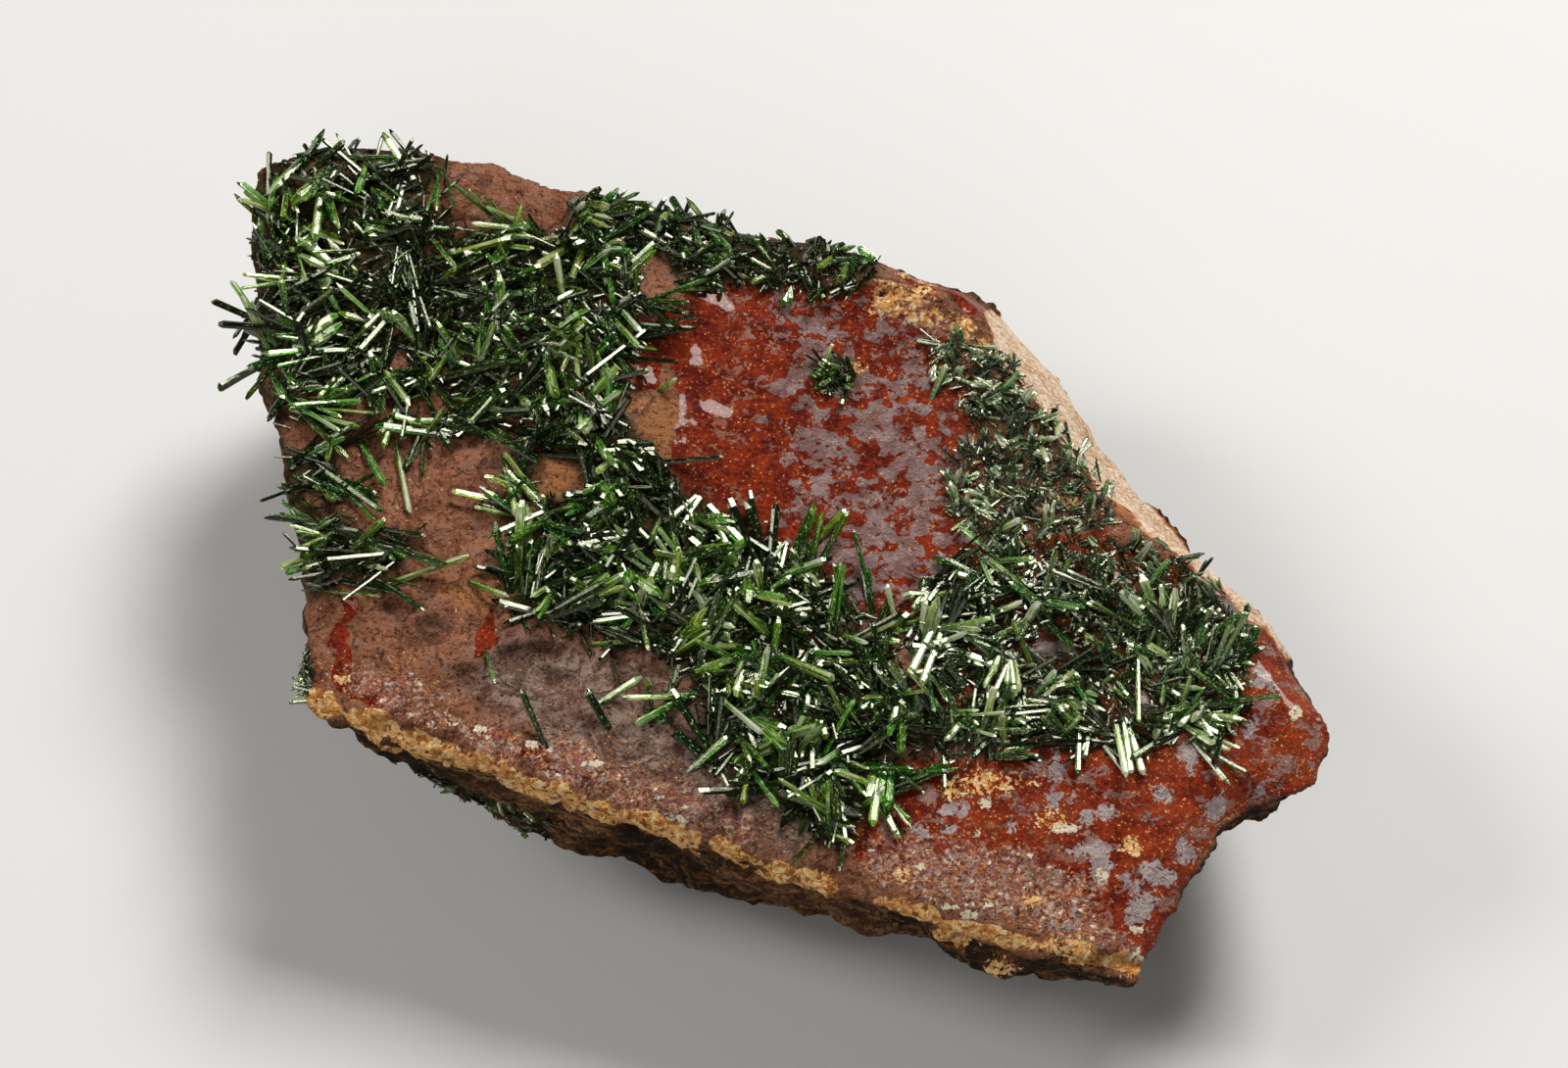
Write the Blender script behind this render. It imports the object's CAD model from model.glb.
"""The looks of an olivenite specimen: a rock slab, partly varnished red, set with green crystals.

The photograph is 1600 by 1090 pixels. Places that are read from it are given in its pixels, as
(across, down), and found on the rock by a line of sight from the photograph's viewpoint.
"""

import math
import random

import bmesh
import bpy
import numpy as np
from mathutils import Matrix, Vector, noise
from mathutils.bvhtree import BVHTree

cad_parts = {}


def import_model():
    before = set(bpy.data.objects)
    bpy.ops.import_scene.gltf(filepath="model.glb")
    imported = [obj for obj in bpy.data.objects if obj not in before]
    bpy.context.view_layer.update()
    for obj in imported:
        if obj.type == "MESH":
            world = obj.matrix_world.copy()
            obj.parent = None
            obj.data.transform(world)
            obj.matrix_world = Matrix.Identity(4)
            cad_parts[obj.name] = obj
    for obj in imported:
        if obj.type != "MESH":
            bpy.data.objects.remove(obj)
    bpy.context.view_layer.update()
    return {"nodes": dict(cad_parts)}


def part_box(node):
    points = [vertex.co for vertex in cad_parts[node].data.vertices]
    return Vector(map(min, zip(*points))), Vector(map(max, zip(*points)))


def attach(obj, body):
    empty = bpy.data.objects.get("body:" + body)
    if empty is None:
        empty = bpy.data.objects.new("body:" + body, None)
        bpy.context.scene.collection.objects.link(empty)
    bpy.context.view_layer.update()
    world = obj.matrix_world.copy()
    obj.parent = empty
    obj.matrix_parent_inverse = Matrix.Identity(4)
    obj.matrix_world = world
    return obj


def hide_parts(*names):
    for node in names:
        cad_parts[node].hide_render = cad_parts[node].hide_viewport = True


# Viewpoint of the photograph.
PHOTO_WIDTH, PHOTO_HEIGHT = 1600, 1090
ELEVATION = math.radians(60)
LENS, SENSOR = 100.0, 36.0
PIXEL = 0.00006  # metres on the crystal face that one pixel shows
AIM_FROM_ROCK = Vector((0.0340, 0.0283, 0.0160))  # aimed at, from the rock's lowest corner

# Rock surface, in metres.
VOXEL = 0.00031
WEAR_STEPS = 6
BASE_HELD = 0.0004  # height below which the rock keeps its flat base
RIM_DEPTHS = (0.0032, 0.0052)  # below the face, where the tan rim fades out
BAY_SIZE = 0.0022  # of the bays in a zone's ragged edge
LUMP_HEIGHT, LUMP_SIZE = 0.00030, 0.0038
DENT_HEIGHT, DENT_SIZE = 0.00014, 0.0013
GRIT_HEIGHT, GRIT_SIZE = 0.00008, 0.00065
HOLLOW_DEPTH = 0.00045  # of the dark spots
BREAK_HEIGHT, BREAK_SIZE = 0.00055, 0.0034
SHEET_HEIGHT, SHEET_SIZE = 0.00032, 0.0026
TERRACE_HEIGHT, TERRACE_SIZE, TERRACES = 0.00024, 0.0062, 3
BEND = (0.0009, 0.0009, 0.0009)  # how far the outlines of flakes and grains wander
# Cosines of the slope against the face, between which a kind of surface fades in or out.
FACE_SLOPES, WALL_SLOPES, TURNED_AWAY = (0.35, 0.75), (0.25, 0.65), (0.0, 0.2)
FACE_NORMAL = Vector((0.0, -math.sin(math.radians(6)), math.cos(math.radians(6))))

# Zones of the crystal face, as outlines in pixels.
VARNISH_MIDDLE = [
    (668, 330), (700, 296), (762, 285), (860, 285), (925, 297), (960, 330), (1000, 400), (1010, 470),
    (1000, 530), (985, 600), (950, 640), (860, 640), (800, 590), (745, 540), (700, 510), (680, 455),
    (692, 400), (672, 370),
]
VARNISH_RIGHT = [
    (1235, 585), (1300, 630), (1330, 690), (1375, 735), (1350, 815), (1270, 830), (1230, 870),
    (1215, 925), (1170, 1000), (1130, 960), (1090, 900), (1060, 850), (960, 840), (870, 880), (880, 830),
    (930, 780), (1000, 770), (1080, 752), (1180, 760), (1260, 740), (1275, 680), (1240, 620),
]
VARNISH_FRONT = [
    (870, 860), (960, 830), (1070, 840), (1130, 900), (1160, 980), (1090, 950), (1000, 905), (900, 885),
]
VARNISH_UNDER_CRYSTALS = [
    (930, 620), (1000, 550), (1120, 540), (1240, 600), (1275, 700), (1200, 770), (1060, 770), (940, 740),
]
ISLANDS_SMALL = [
    (700, 300), (770, 300), (800, 400), (800, 500), (760, 540), (720, 510), (700, 440),
]
ISLANDS_LARGE = [
    (775, 290), (860, 300), (950, 345), (995, 430), (1000, 560), (950, 650), (850, 630), (790, 560),
    (775, 450), (790, 380),
]
# Bare islands in the varnish at the right, and rock that shows between the crystals there.
ISLANDS_RIGHT = [
    [(1271, 693), (1285, 683), (1295, 686), (1303, 702), (1298, 710), (1290, 702), (1275, 697)],
    [(1200, 762), (1222, 752), (1232, 745), (1240, 752), (1224, 766), (1220, 775), (1222, 788), (1216, 790),
     (1208, 780), (1199, 772)],
    [(1072, 772), (1078, 760), (1086, 768), (1080, 776), (1086, 790), (1085, 802), (1076, 800), (1067, 788)],
    [(1068, 812), (1076, 804), (1082, 812), (1080, 824), (1070, 828)],
    [(1090, 808), (1098, 806), (1098, 818), (1090, 820)],
    [(1102, 828), (1108, 822), (1117, 826), (1117, 838), (1106, 843), (1100, 838)],
    [(1122, 820), (1130, 822), (1140, 828), (1137, 835), (1124, 835), (1120, 828)],
    [(1176, 802), (1186, 803), (1197, 808), (1194, 816), (1182, 820), (1177, 812)],
    [(1228, 824), (1240, 812), (1248, 806), (1250, 832), (1240, 836), (1232, 836)],
    [(1277, 808), (1288, 802), (1294, 810), (1284, 816)],
    [(1320, 682), (1330, 679), (1346, 698), (1358, 724), (1346, 718), (1334, 700)],
    [(1200, 864), (1205, 856), (1219, 864), (1221, 872), (1214, 884), (1203, 880)],
    [(1158, 890), (1168, 880), (1182, 875), (1186, 886), (1196, 888), (1203, 896), (1192, 907), (1176, 903)],
    [(1109, 866), (1122, 857), (1133, 866), (1130, 876), (1139, 884), (1129, 892), (1131, 902), (1116, 905)],
    [(1142, 895), (1152, 893), (1167, 906), (1163, 913), (1150, 905)],
    [(1149, 926), (1168, 909), (1182, 916), (1173, 938), (1160, 945), (1149, 941)],
    [(956, 826), (968, 819), (991, 824), (986, 833), (970, 831), (960, 838)],
    [(961, 844), (979, 842), (974, 852), (962, 853)],
    [(931, 838), (942, 839), (950, 857), (944, 861), (936, 850)],
    [(963, 866), (974, 871), (985, 865), (980, 881), (970, 883)],
    [(1084, 866), (1100, 861), (1111, 870), (1100, 875)],
    [(1067, 892), (1082, 885), (1087, 900), (1074, 905)],
    [(1029, 838), (1037, 837), (1039, 851), (1031, 849)],
    [(1268, 748), (1280, 729), (1284, 742), (1275, 754)],
    [(1048, 668), (1060, 654), (1090, 654), (1099, 665), (1080, 671), (1056, 678)],
    [(1064, 690), (1085, 681), (1089, 700), (1075, 705)],
    [(1158, 703), (1173, 707), (1177, 726), (1164, 723)],
    [(1184, 705), (1205, 699), (1216, 712), (1195, 717)],
    [(1240, 612), (1262, 604), (1284, 628), (1276, 650), (1254, 640)],
]
# Cream grains: centre, half width and half height.
CREAM_SPOTS = [
    (1005, 818, 9, 7), (1088, 846, 14, 5), (998, 849, 6, 5), (939, 884, 8, 6), (990, 933, 10, 6),
    (1008, 924, 5, 5), (1160, 949, 10, 5), (1124, 895, 10, 8), (912, 842, 7, 4), (490, 745, 10, 5),
    (545, 760, 9, 4), (604, 780, 14, 5), (690, 836, 16, 5), (1160, 975, 8, 8), (968, 926, 9, 4),
    (1322, 728, 7, 9), (1040, 505, 9, 5), (1098, 493, 7, 5),
]
# Ochre crumbs.
OCHRE_SPOTS = [
    (1092, 964, 26, 10), (926, 893, 14, 7), (1053, 918, 8, 8), (1000, 800, 42, 12), (1075, 835, 15, 9),
    (1020, 985, 16, 8), (350, 694, 14, 7), (902, 312, 20, 10), (940, 296, 12, 8),
    (1155, 985, 10, 16), (1030, 498, 26, 10), (1095, 510, 16, 8), (872, 376, 12, 7), (1150, 862, 12, 10),
]
MAUVE_FRONT = [
    (500, 650), (600, 650), (690, 690), (760, 760), (830, 850), (800, 870), (700, 830), (600, 780),
    (520, 740), (470, 700),
]
TAN_RIM = [
    (298, 702), (318, 698), (350, 712), (400, 735), (470, 762), (540, 790), (600, 812), (700, 846),
    (840, 892), (960, 930), (1090, 962), (1180, 980), (1172, 1002), (1090, 985), (980, 955), (850, 915),
    (700, 868), (600, 838), (500, 800), (400, 765), (330, 738), (300, 722),
]
LEDGE = [
    (885, 283), (930, 280), (970, 298), (1010, 335), (1050, 380), (1072, 415), (1055, 420), (1020, 385),
    (985, 350), (940, 330), (890, 312),
]
CHIP = [
    (1006, 322), (1022, 318), (1070, 358), (1112, 398), (1146, 465), (1206, 526), (1290, 598), (1325, 662),
    (1316, 680), (1300, 652), (1235, 596), (1160, 540), (1110, 482), (1070, 432), (1035, 385), (1012, 350),
]
GRAINS = [
    [(880, 856), (960, 852), (1060, 862), (1115, 890), (1140, 940), (1165, 990), (1060, 965), (960, 930),
     (880, 895)],
    [(330, 680), (430, 668), (450, 720), (560, 745), (690, 790), (800, 850), (790, 880), (620, 825),
     (470, 765), (350, 715)],
    [(885, 285), (930, 285), (980, 320), (1040, 380), (1020, 400), (960, 345), (890, 320)],
    [(985, 470), (1060, 470), (1125, 500), (1125, 530), (1050, 540), (985, 520)],
]
RED_STREAKS = [
    [(362, 598), (372, 612), (352, 650), (338, 662), (340, 640)],
    [(500, 614), (506, 622), (497, 660), (488, 668), (492, 640)],
    [(350, 655), (362, 690), (420, 700), (400, 730), (350, 712), (336, 690)],
    [(590, 520), (600, 530), (590, 540), (575, 532)],
    [(470, 740), (500, 745), (570, 770), (560, 785), (500, 770)],
    [(1005, 320), (1060, 335), (1100, 385), (1090, 395), (1050, 355)],
    [(640, 300), (668, 330), (680, 390), (665, 400), (640, 360)],
    [(915, 266), (950, 276), (985, 294), (1004, 312), (999, 324), (975, 310), (945, 294), (915, 284)],
]
# Rock left bare among the crystals: centre, half width and half height.
CLEARINGS = [
    (570, 482, 26, 22), (668, 432, 27, 25), (405, 369, 13, 10), (306, 447, 15, 12), (486, 462, 24, 22),
    (672, 282, 20, 26), (440, 420, 14, 10), (1062, 660, 26, 9), (1165, 714, 9, 11), (900, 616, 20, 8),
]
WARM_SPOTS = [
    (570, 482, 26, 24), (668, 432, 26, 26), (480, 600, 30, 14), (620, 330, 22, 40),
    (350, 600, 30, 12),
]
DARK_SPOTS = [
    (437, 640, 26, 12), (540, 668, 40, 12), (352, 560, 20, 10), (470, 690, 18, 12), (905, 300, 12, 6),
    (975, 318, 20, 12), (615, 425, 14, 26), (410, 620, 20, 7), (1120, 985, 40, 9), (560, 690, 16, 10),
]
# Oval spots, and how ragged their edges are.
SPOTS = {
    "cream": (CREAM_SPOTS, 0.5), "ochre": (OCHRE_SPOTS, 1), "warm": (WARM_SPOTS, 1), "dark": (DARK_SPOTS, 1),
}
# Each zone's outlines, with their strength, fading edge in pixels, and raggedness.
ZONES = {
    "varnish": [
        (VARNISH_MIDDLE, 1, 10, 1), (VARNISH_RIGHT, 1, 10, 1), (VARNISH_UNDER_CRYSTALS, 0.8, 10, 1),
        (VARNISH_FRONT, 0.6, 20, 1),
    ],
    "islands": [(ISLANDS_LARGE, 1, 60, 2), (ISLANDS_SMALL, 0.3, 40, 2), (VARNISH_RIGHT, 0.45, 20, 1)],
    "islands_right": [(outline, 1, 8, 0) for outline in ISLANDS_RIGHT],
    "mauve": [(MAUVE_FRONT, 1, 30, 1)],
    "tan": [(TAN_RIM, 1, 5, 1)],
    "ledge": [(LEDGE, 0.62, 10, 1)],
    "chip": [(CHIP, 1, 4, 0.7)],
    "grains": [(outline, 1, 22, 1) for outline in GRAINS],
    "streaks": [(outline, 1, 5, 1) for outline in RED_STREAKS],
}
THICKET_EDGE = 12  # fading edge of the dark stain under a thicket
FROST_CLEARS = 0.4  # share of the stain that frosty crystals lack
EDGE_WANDER = 14  # pixels that a ragged edge strays
NOT_ONLY_ON_FACE = ("tan", "ledge", "chip", "ochre")  # zones that reach over the face's edge
LEFT_END = (600, 720)  # pixels across, where the rough left part fades out
# The mesh layers that carry the zones to the material, three in each.
ZONE_LAYERS = {
    "zone_a": ("varnish", "islands", "mauve"),
    "zone_b": ("tan", "chip", "grains"),
    "zone_c": ("wall", "shade", "streaks"),
    "zone_d": ("warm", "dark", "cream"),
    "zone_e": ("ochre", "left", "islands_right"),
}
# Nothing of a crystal reaches out of this.
SILHOUETTE = [
    (236, 165), (262, 155), (300, 142), (350, 124), (400, 130), (450, 149), (480, 165), (540, 172),
    (590, 190), (670, 191), (710, 205), (770, 220), (830, 235), (875, 238), (915, 254), (955, 280),
    (1010, 312), (1060, 345), (1105, 390), (1140, 455), (1190, 508), (1230, 542), (1270, 575),
    (1310, 611), (1335, 657), (1345, 700), (1300, 900), (1200, 1010), (900, 1000), (320, 900),
    (285, 740), (286, 690), (300, 640), (286, 590), (277, 545), (257, 512), (274, 480), (268, 465),
    (273, 425), (222, 400), (222, 360), (210, 310), (222, 285), (205, 255), (240, 230), (238, 190),
]

# Thickets of crystals, as outlines in pixels. Lengths and widths are in pixels too, lifts in degrees.
# Undergrowth is the small crystals between the bundles. Pale and frost are 0 unless they are given.
GROUPS = {
    "crystals_upper_left": [
        dict(bundles=290, undergrowth=850, length=(40, 86), width=(5, 10), lift=(2, 26), pale=0.1, outline=[
            (245, 180), (300, 145), (360, 132), (425, 140), (462, 160), (440, 200), (470, 236),
            (545, 240), (600, 235), (640, 240), (655, 290), (665, 345), (620, 395), (560, 405),
            (520, 440), (470, 455), (425, 455), (395, 415), (330, 398), (282, 395), (258, 330),
            (240, 285), (235, 240),
        ]),
        dict(bundles=42, undergrowth=120, length=(28, 56), width=(6, 10), lift=(2, 26), outline=[
            (590, 203), (640, 198), (690, 206), (712, 250), (690, 300), (655, 300), (600, 240),
        ]),
    ],
    "crystals_back_edge": [
        dict(bundles=70, undergrowth=260, length=(16, 42), width=(5, 9), lift=(4, 34), outline=[
            (712, 222), (770, 233), (825, 242), (880, 248), (912, 264), (880, 290), (835, 302),
            (800, 292), (750, 292), (705, 300), (700, 260),
        ]),
    ],
    "crystals_left_edge": [
        dict(bundles=46, undergrowth=90, length=(50, 104), width=(4, 8), lift=(2, 20),
             heading=(0, 45), outline=[
            (245, 392), (300, 400), (345, 425), (345, 480), (335, 520), (395, 545), (430, 560),
            (380, 590), (325, 606), (300, 598), (292, 540), (275, 500), (280, 440), (240, 410),
        ]),
    ],
    "crystals_centre": [
        dict(bundles=300, undergrowth=750, length=(42, 84), width=(5, 11), lift=(2, 30), pale=0.25, outline=[
            (570, 410), (620, 405), (665, 455), (700, 500), (735, 525), (790, 550), (850, 585),
            (900, 610), (905, 660), (925, 700), (915, 750), (920, 790), (895, 825), (865, 860),
            (825, 850), (790, 805), (750, 795), (724, 785), (718, 730), (692, 690), (640, 655),
            (560, 645), (525, 635), (515, 590), (550, 545), (510, 520), (530, 470), (550, 430),
        ]),
    ],
    "crystals_right": [
        dict(bundles=200, undergrowth=600, length=(34, 70), width=(4.5, 9), lift=(3, 34),
             pale=0.7, frost=0.3, outline=[
            (935, 600), (985, 560), (1035, 560), (1085, 590), (1160, 610), (1220, 640), (1268, 670),
            (1272, 715), (1250, 750), (1195, 760), (1130, 772), (1080, 752), (1040, 762), (1000, 775),
            (950, 775), (930, 755), (945, 700), (935, 660),
        ]),
        dict(bundles=170, undergrowth=360, length=(12, 32), width=(2.5, 5), lift=(6, 60),
             pale=1.0, frost=0.7, outline=[
            (1000, 545), (1090, 548), (1180, 552), (1245, 600), (1270, 640), (1262, 690), (1190, 690),
            (1110, 640), (1040, 590),
        ]),
    ],
    "crystals_chip_edge": [
        dict(bundles=270, undergrowth=460, length=(10, 28), width=(2.5, 5), lift=(4, 50),
             pale=1.0, frost=0.7, outline=[
            (945, 345), (990, 345), (1035, 372), (1070, 425), (1115, 478), (1135, 512), (1125, 538),
            (1060, 545), (1000, 550), (965, 520), (968, 490), (990, 450), (980, 400), (950, 372),
        ]),
    ],
    "crystal_rosette": [
        dict(bundles=26, undergrowth=50, length=(12, 26), width=(3.5, 6.5), lift=(10, 55), pale=0.3, outline=[
            (828, 375), (842, 366), (862, 370), (870, 388), (855, 402), (832, 398),
        ]),
    ],
    "crystals_left_corner": [
        dict(bundles=50, undergrowth=120, length=(8, 20), width=(3, 6), lift=(10, 55),
             pale=0.8, frost=0.7, outline=[
            (302, 640), (312, 650), (318, 690), (312, 722), (302, 722), (296, 690),
        ]),
    ],
    "crystals_front_wall": [
        dict(bundles=90, undergrowth=380, length=(7, 17), width=(3, 6), lift=(5, 45),
             pale=0.1, frost=0.5, outline=[
            (340, 756), (400, 776), (480, 806), (560, 838), (555, 868), (470, 842), (380, 800),
        ]),
    ],
}

# Single crystals that stand out, from base to tip in pixels: width, and paleness of the tip.
STANDING_OUT = {
    "crystals_upper_left": [
        (577, 317, 567, 258, 8, 1.0), (294, 327, 287, 286, 8, 0.6), (302, 324, 343, 294, 9, 0.5),
        (282, 352, 236, 286, 7, 1.0), (276, 360, 246, 300, 7, 0.9), (371, 319, 414, 327, 14, 0.5),
        (440, 243, 465, 273, 8, 0.7), (328, 161, 404, 161, 8, 0.3), (379, 360, 419, 414, 8, 0.8),
        (555, 350, 567, 406, 11, 0.8), (588, 353, 590, 393, 6, 1.0), (404, 452, 418, 523, 6, 1.0),
        (583, 219, 597, 207, 8, 1.0), (606, 265, 625, 253, 8, 1.0), (634, 316, 654, 339, 8, 1.0),
        (622, 322, 652, 354, 8, 0.8), (672, 303, 723, 284, 7, 0.6), (705, 221, 715, 252, 8, 0.4),
        (268, 372, 222, 396, 10, 0.2), (265, 375, 219, 373, 8, 0.2), (238, 268, 206, 256, 8, 0.5),
        (673, 399, 691, 386, 7, 1.0),
    ],
    "crystals_left_edge": [
        (368, 452, 394, 498, 9, 0.6), (343, 432, 333, 472, 8, 0.5), (338, 539, 455, 577, 9, 0.15),
        (373, 604, 479, 567, 8, 0.9), (366, 576, 396, 581, 6, 1.0), (302, 569, 297, 518, 11, 1.0),
        (256, 516, 282, 483, 8, 0.4), (288, 600, 345, 569, 8, 0.3),
    ],
    "crystals_centre": [
        (430, 452, 455, 414, 8, 0.7), (470, 444, 506, 404, 8, 0.4), (514, 467, 527, 527, 7, 0.9),
        (527, 527, 484, 517, 5, 1.0), (482, 595, 519, 609, 8, 0.9), (603, 482, 626, 512, 12, 0.7),
        (709, 613, 761, 553, 9, 0.6), (677, 522, 662, 556, 10, 0.6), (700, 545, 715, 596, 9, 0.6),
        (705, 631, 751, 640, 8, 1.0), (782, 624, 771, 571, 9, 0.9), (792, 589, 843, 571, 10, 0.8),
        (544, 604, 618, 576, 10, 0.3), (542, 530, 590, 515, 8, 0.2), (915, 639, 905, 596, 7, 1.0),
        (959, 627, 928, 689, 9, 1.0), (966, 630, 940, 700, 8, 0.9), (788, 667, 852, 694, 12, 0.8),
        (719, 699, 778, 749, 7, 1.0), (762, 762, 839, 741, 13, 0.6), (883, 820, 903, 803, 7, 1.0),
        (604, 657, 645, 654, 6, 1.0), (614, 716, 655, 690, 8, 0.9), (556, 760, 531, 703, 9, 0.1),
        (620, 741, 598, 703, 10, 0.1), (665, 737, 661, 690, 9, 0.5), (705, 785, 742, 752, 8, 0.8),
        (496, 665, 505, 697, 4, 0.9), (863, 649, 885, 657, 7, 1.0),
    ],
    "crystals_right": [
        (999, 759, 1015, 701, 8, 1.0), (1005, 629, 1043, 614, 8, 1.0), (962, 655, 988, 645, 8, 1.0),
        (1161, 650, 1162, 737, 5, 0.8), (1195, 699, 1226, 703, 7, 1.0), (1191, 679, 1185, 719, 7, 0.6),
        (1017, 542, 1041, 530, 9, 1.0), (1011, 573, 1054, 570, 8, 0.8), (1094, 694, 1110, 717, 8, 0.5),
        (1084, 750, 1102, 732, 7, 0.6), (1237, 714, 1184, 727, 8, 0.3), (1025, 760, 1022, 728, 9, 0.9),
    ],
    "crystals_chip_edge": [
        (1063, 456, 1069, 471, 7, 1.0), (1077, 425, 1080, 446, 6, 0.9), (952, 404, 966, 372, 8, 0.8),
        (1020, 400, 1040, 380, 7, 0.8),
    ],
}

BUNDLE_SPREAD = math.radians(11)  # between the crystals of a bundle
ROOT_DEPTH = 0.00025  # how deep a crystal's lower end is sunk in the rock
DARK_SHARE, BRIGHT_SHARE = 0.38, 0.26  # of the bundles
SHINING_SHARE = 0.26  # of all crystals, turned so that a broad face shines
SHINING_SHARE_BRIGHT = 0.60  # of the bright ones
SHINING_OF_PALE = 0.6  # more of them shine in a pale thicket
PALE_TINTS = (0.0, 0.4)  # added to a tint in a pale thicket
UNDERGROWTH_TINTS, UNDERGROWTH_SIZES = (0.0, 0.20), (0.22, 0.45)
DARK_TINTS, MIDDLE_TINTS, BRIGHT_TINTS = (0.0, 0.22), (0.25, 0.50), (0.55, 0.90)
BUNDLE_COUNTS = (1, 2, 3, 3, 4)
SINGLE_FROST = 0.2
LIFT_STEP, LIFT_TRIES = math.radians(5), 14  # a crystal is lifted until it is clear of the rock
SINGLE_RISE, RISE_STEP, RISE_TRIES = 0.0012, 0.00015, 20  # the same for a single one's tip, in metres
FACET_TINTS = (-0.15, 0.15)  # range of a facet's own shift in tint
KEY_PLACE = Vector((0.30, 0.60, 0.72))
# Lights: place, size in metres, power in watts, colour.
LIGHTS = {
    "key": (KEY_PLACE, 0.34, 10.0, (1.0, 0.96, 0.89)),
    "side": (Vector((-0.70, 0.10, 0.60)), 0.30, 3.4, (1.0, 0.95, 0.88)),
    "fill": (Vector((-0.2, -0.7, 0.7)), 0.6, 1.4, (1.0, 0.96, 0.90)),
}
SEED = 17


class Eye:
    """The photograph's viewpoint, and the lines of sight through its pixels."""

    def __init__(self, target):
        self.forward = Vector((0.0, math.cos(ELEVATION), -math.sin(ELEVATION)))
        self.right = Vector((1.0, 0.0, 0.0))
        self.up = Vector((0.0, math.sin(ELEVATION), math.cos(ELEVATION)))
        self.place = target - self.forward * (PIXEL * PHOTO_WIDTH * LENS / SENSOR)

    def line(self, across, down):
        reach = SENSOR / LENS / PHOTO_WIDTH
        side = self.right * (across - PHOTO_WIDTH / 2) - self.up * (down - PHOTO_HEIGHT / 2)
        return (self.forward + side * reach).normalized()

    def pixels(self, points):
        """Pixels that show an array of points."""
        offset = points - np.array(self.place)
        ahead = offset @ np.array(self.forward)
        reach = LENS / SENSOR * PHOTO_WIDTH
        across = PHOTO_WIDTH / 2 + offset @ np.array(self.right) / ahead * reach
        down = PHOTO_HEIGHT / 2 - offset @ np.array(self.up) / ahead * reach
        return np.stack([across, down], axis=1)


def smooth_step(low, high, value):
    share = np.clip((value - low) / (high - low), 0.0, 1.0)
    return share * share * (3 - 2 * share)


def distance_in(outline, points):
    """How far points lie inside an outline; negative outside."""
    nearest = np.full(len(points), 1e9)
    inside = np.zeros(len(points), bool)
    x, y = points[:, 0], points[:, 1]
    for (x0, y0), (x1, y1) in zip(outline, outline[1:] + outline[:1]):
        length = (x1 - x0) ** 2 + (y1 - y0) ** 2
        share = np.clip(((x - x0) * (x1 - x0) + (y - y0) * (y1 - y0)) / length, 0.0, 1.0)
        nearest = np.minimum(nearest, np.hypot(x - x0 - share * (x1 - x0), y - y0 - share * (y1 - y0)))
        if y0 != y1:
            inside ^= ((y0 > y) != (y1 > y)) & (x < x0 + (x1 - x0) * (y - y0) / (y1 - y0))
    return np.where(inside, nearest, -nearest)


def waves(points, size, octaves=3, shift=0.0):
    """Fractal noise with features of a size, at each point."""
    move = Vector((shift, -shift, shift))
    return np.array([noise.fractal(Vector(p) / size + move, 1.0, 2.0, octaves) for p in points])


def new_object(name, mesh, material):
    obj = bpy.data.objects.new(name, mesh)
    bpy.context.scene.collection.objects.link(obj)
    mesh.materials.clear()
    mesh.materials.append(material)
    return obj


# Rock.

def vectors(items, kind):
    """A vector property of a mesh's items, one row for each."""
    values = np.empty(len(items) * 3, np.float32)
    items.foreach_get(kind, values)
    return values.reshape(-1, 3).astype(float)


def fine_mesh_of(node):
    """The node's form in small even facets, with the large ones' edges worn."""
    fine = bpy.data.objects.new("fine", node.data.copy())
    bpy.context.scene.collection.objects.link(fine)
    remesh = fine.modifiers.new("even facets", "REMESH")
    remesh.mode = "VOXEL"
    remesh.voxel_size = VOXEL
    wear = fine.modifiers.new("wear", "SMOOTH")
    wear.factor = 0.5
    wear.iterations = WEAR_STEPS
    bpy.context.view_layer.update()
    graph = bpy.context.evaluated_depsgraph_get()
    mesh = bpy.data.meshes.new_from_object(fine.evaluated_get(graph))
    bpy.data.objects.remove(fine)
    return mesh


def zone(outline, pixels, ragged, edge):
    """Share of an outline at each point, fading over its ragged edge."""
    return smooth_step(-edge, edge, distance_in(outline, pixels) + ragged * EDGE_WANDER)


def strongest(parts, pixels, ragged):
    """The largest share of a zone's parts at each point."""
    return np.max([
        strength * zone(outline, pixels, ragged * raggedness, edge)
        for outline, strength, edge, raggedness in parts
    ], axis=0)


def spots(centres, pixels, ragged):
    """Share of oval spots at each point."""
    share = np.zeros(len(pixels))
    for across, down, half_width, half_height in centres:
        reach = np.hypot((pixels[:, 0] - across) / half_width, (pixels[:, 1] - down) / half_height)
        share = np.maximum(share, 1 - smooth_step(0.5, 1.4, reach + ragged * 0.9))
    return share


def rock_zones(pixels, up, near_face, seen, sloping, ragged, wall):
    """Shares of the rock's zones at each point, by name."""
    shares = {name: strongest(parts, pixels, ragged) for name, parts in ZONES.items()}
    for name, (centres, raggedness) in SPOTS.items():
        shares[name] = spots(centres, pixels, ragged * raggedness)
    shares["left"] = 1 - smooth_step(*LEFT_END, pixels[:, 0])
    for name in shares.keys() - NOT_ONLY_ON_FACE:
        shares[name] *= up
    shares["tan"] = np.maximum(shares["tan"] * near_face, shares["ledge"] * seen)
    shares["chip"] *= sloping
    shares["ochre"] *= seen
    stains = [
        (thicket["outline"], 1.0 - FROST_CLEARS * thicket.get("frost", 0.0), THICKET_EDGE, 1)
        for thickets in GROUPS.values() for thicket in thickets
    ]
    shares["shade"] = strongest(stains, pixels, ragged) * seen * (1 - spots(CLEARINGS, pixels, ragged))
    shares["wall"] = wall
    return shares


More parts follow.
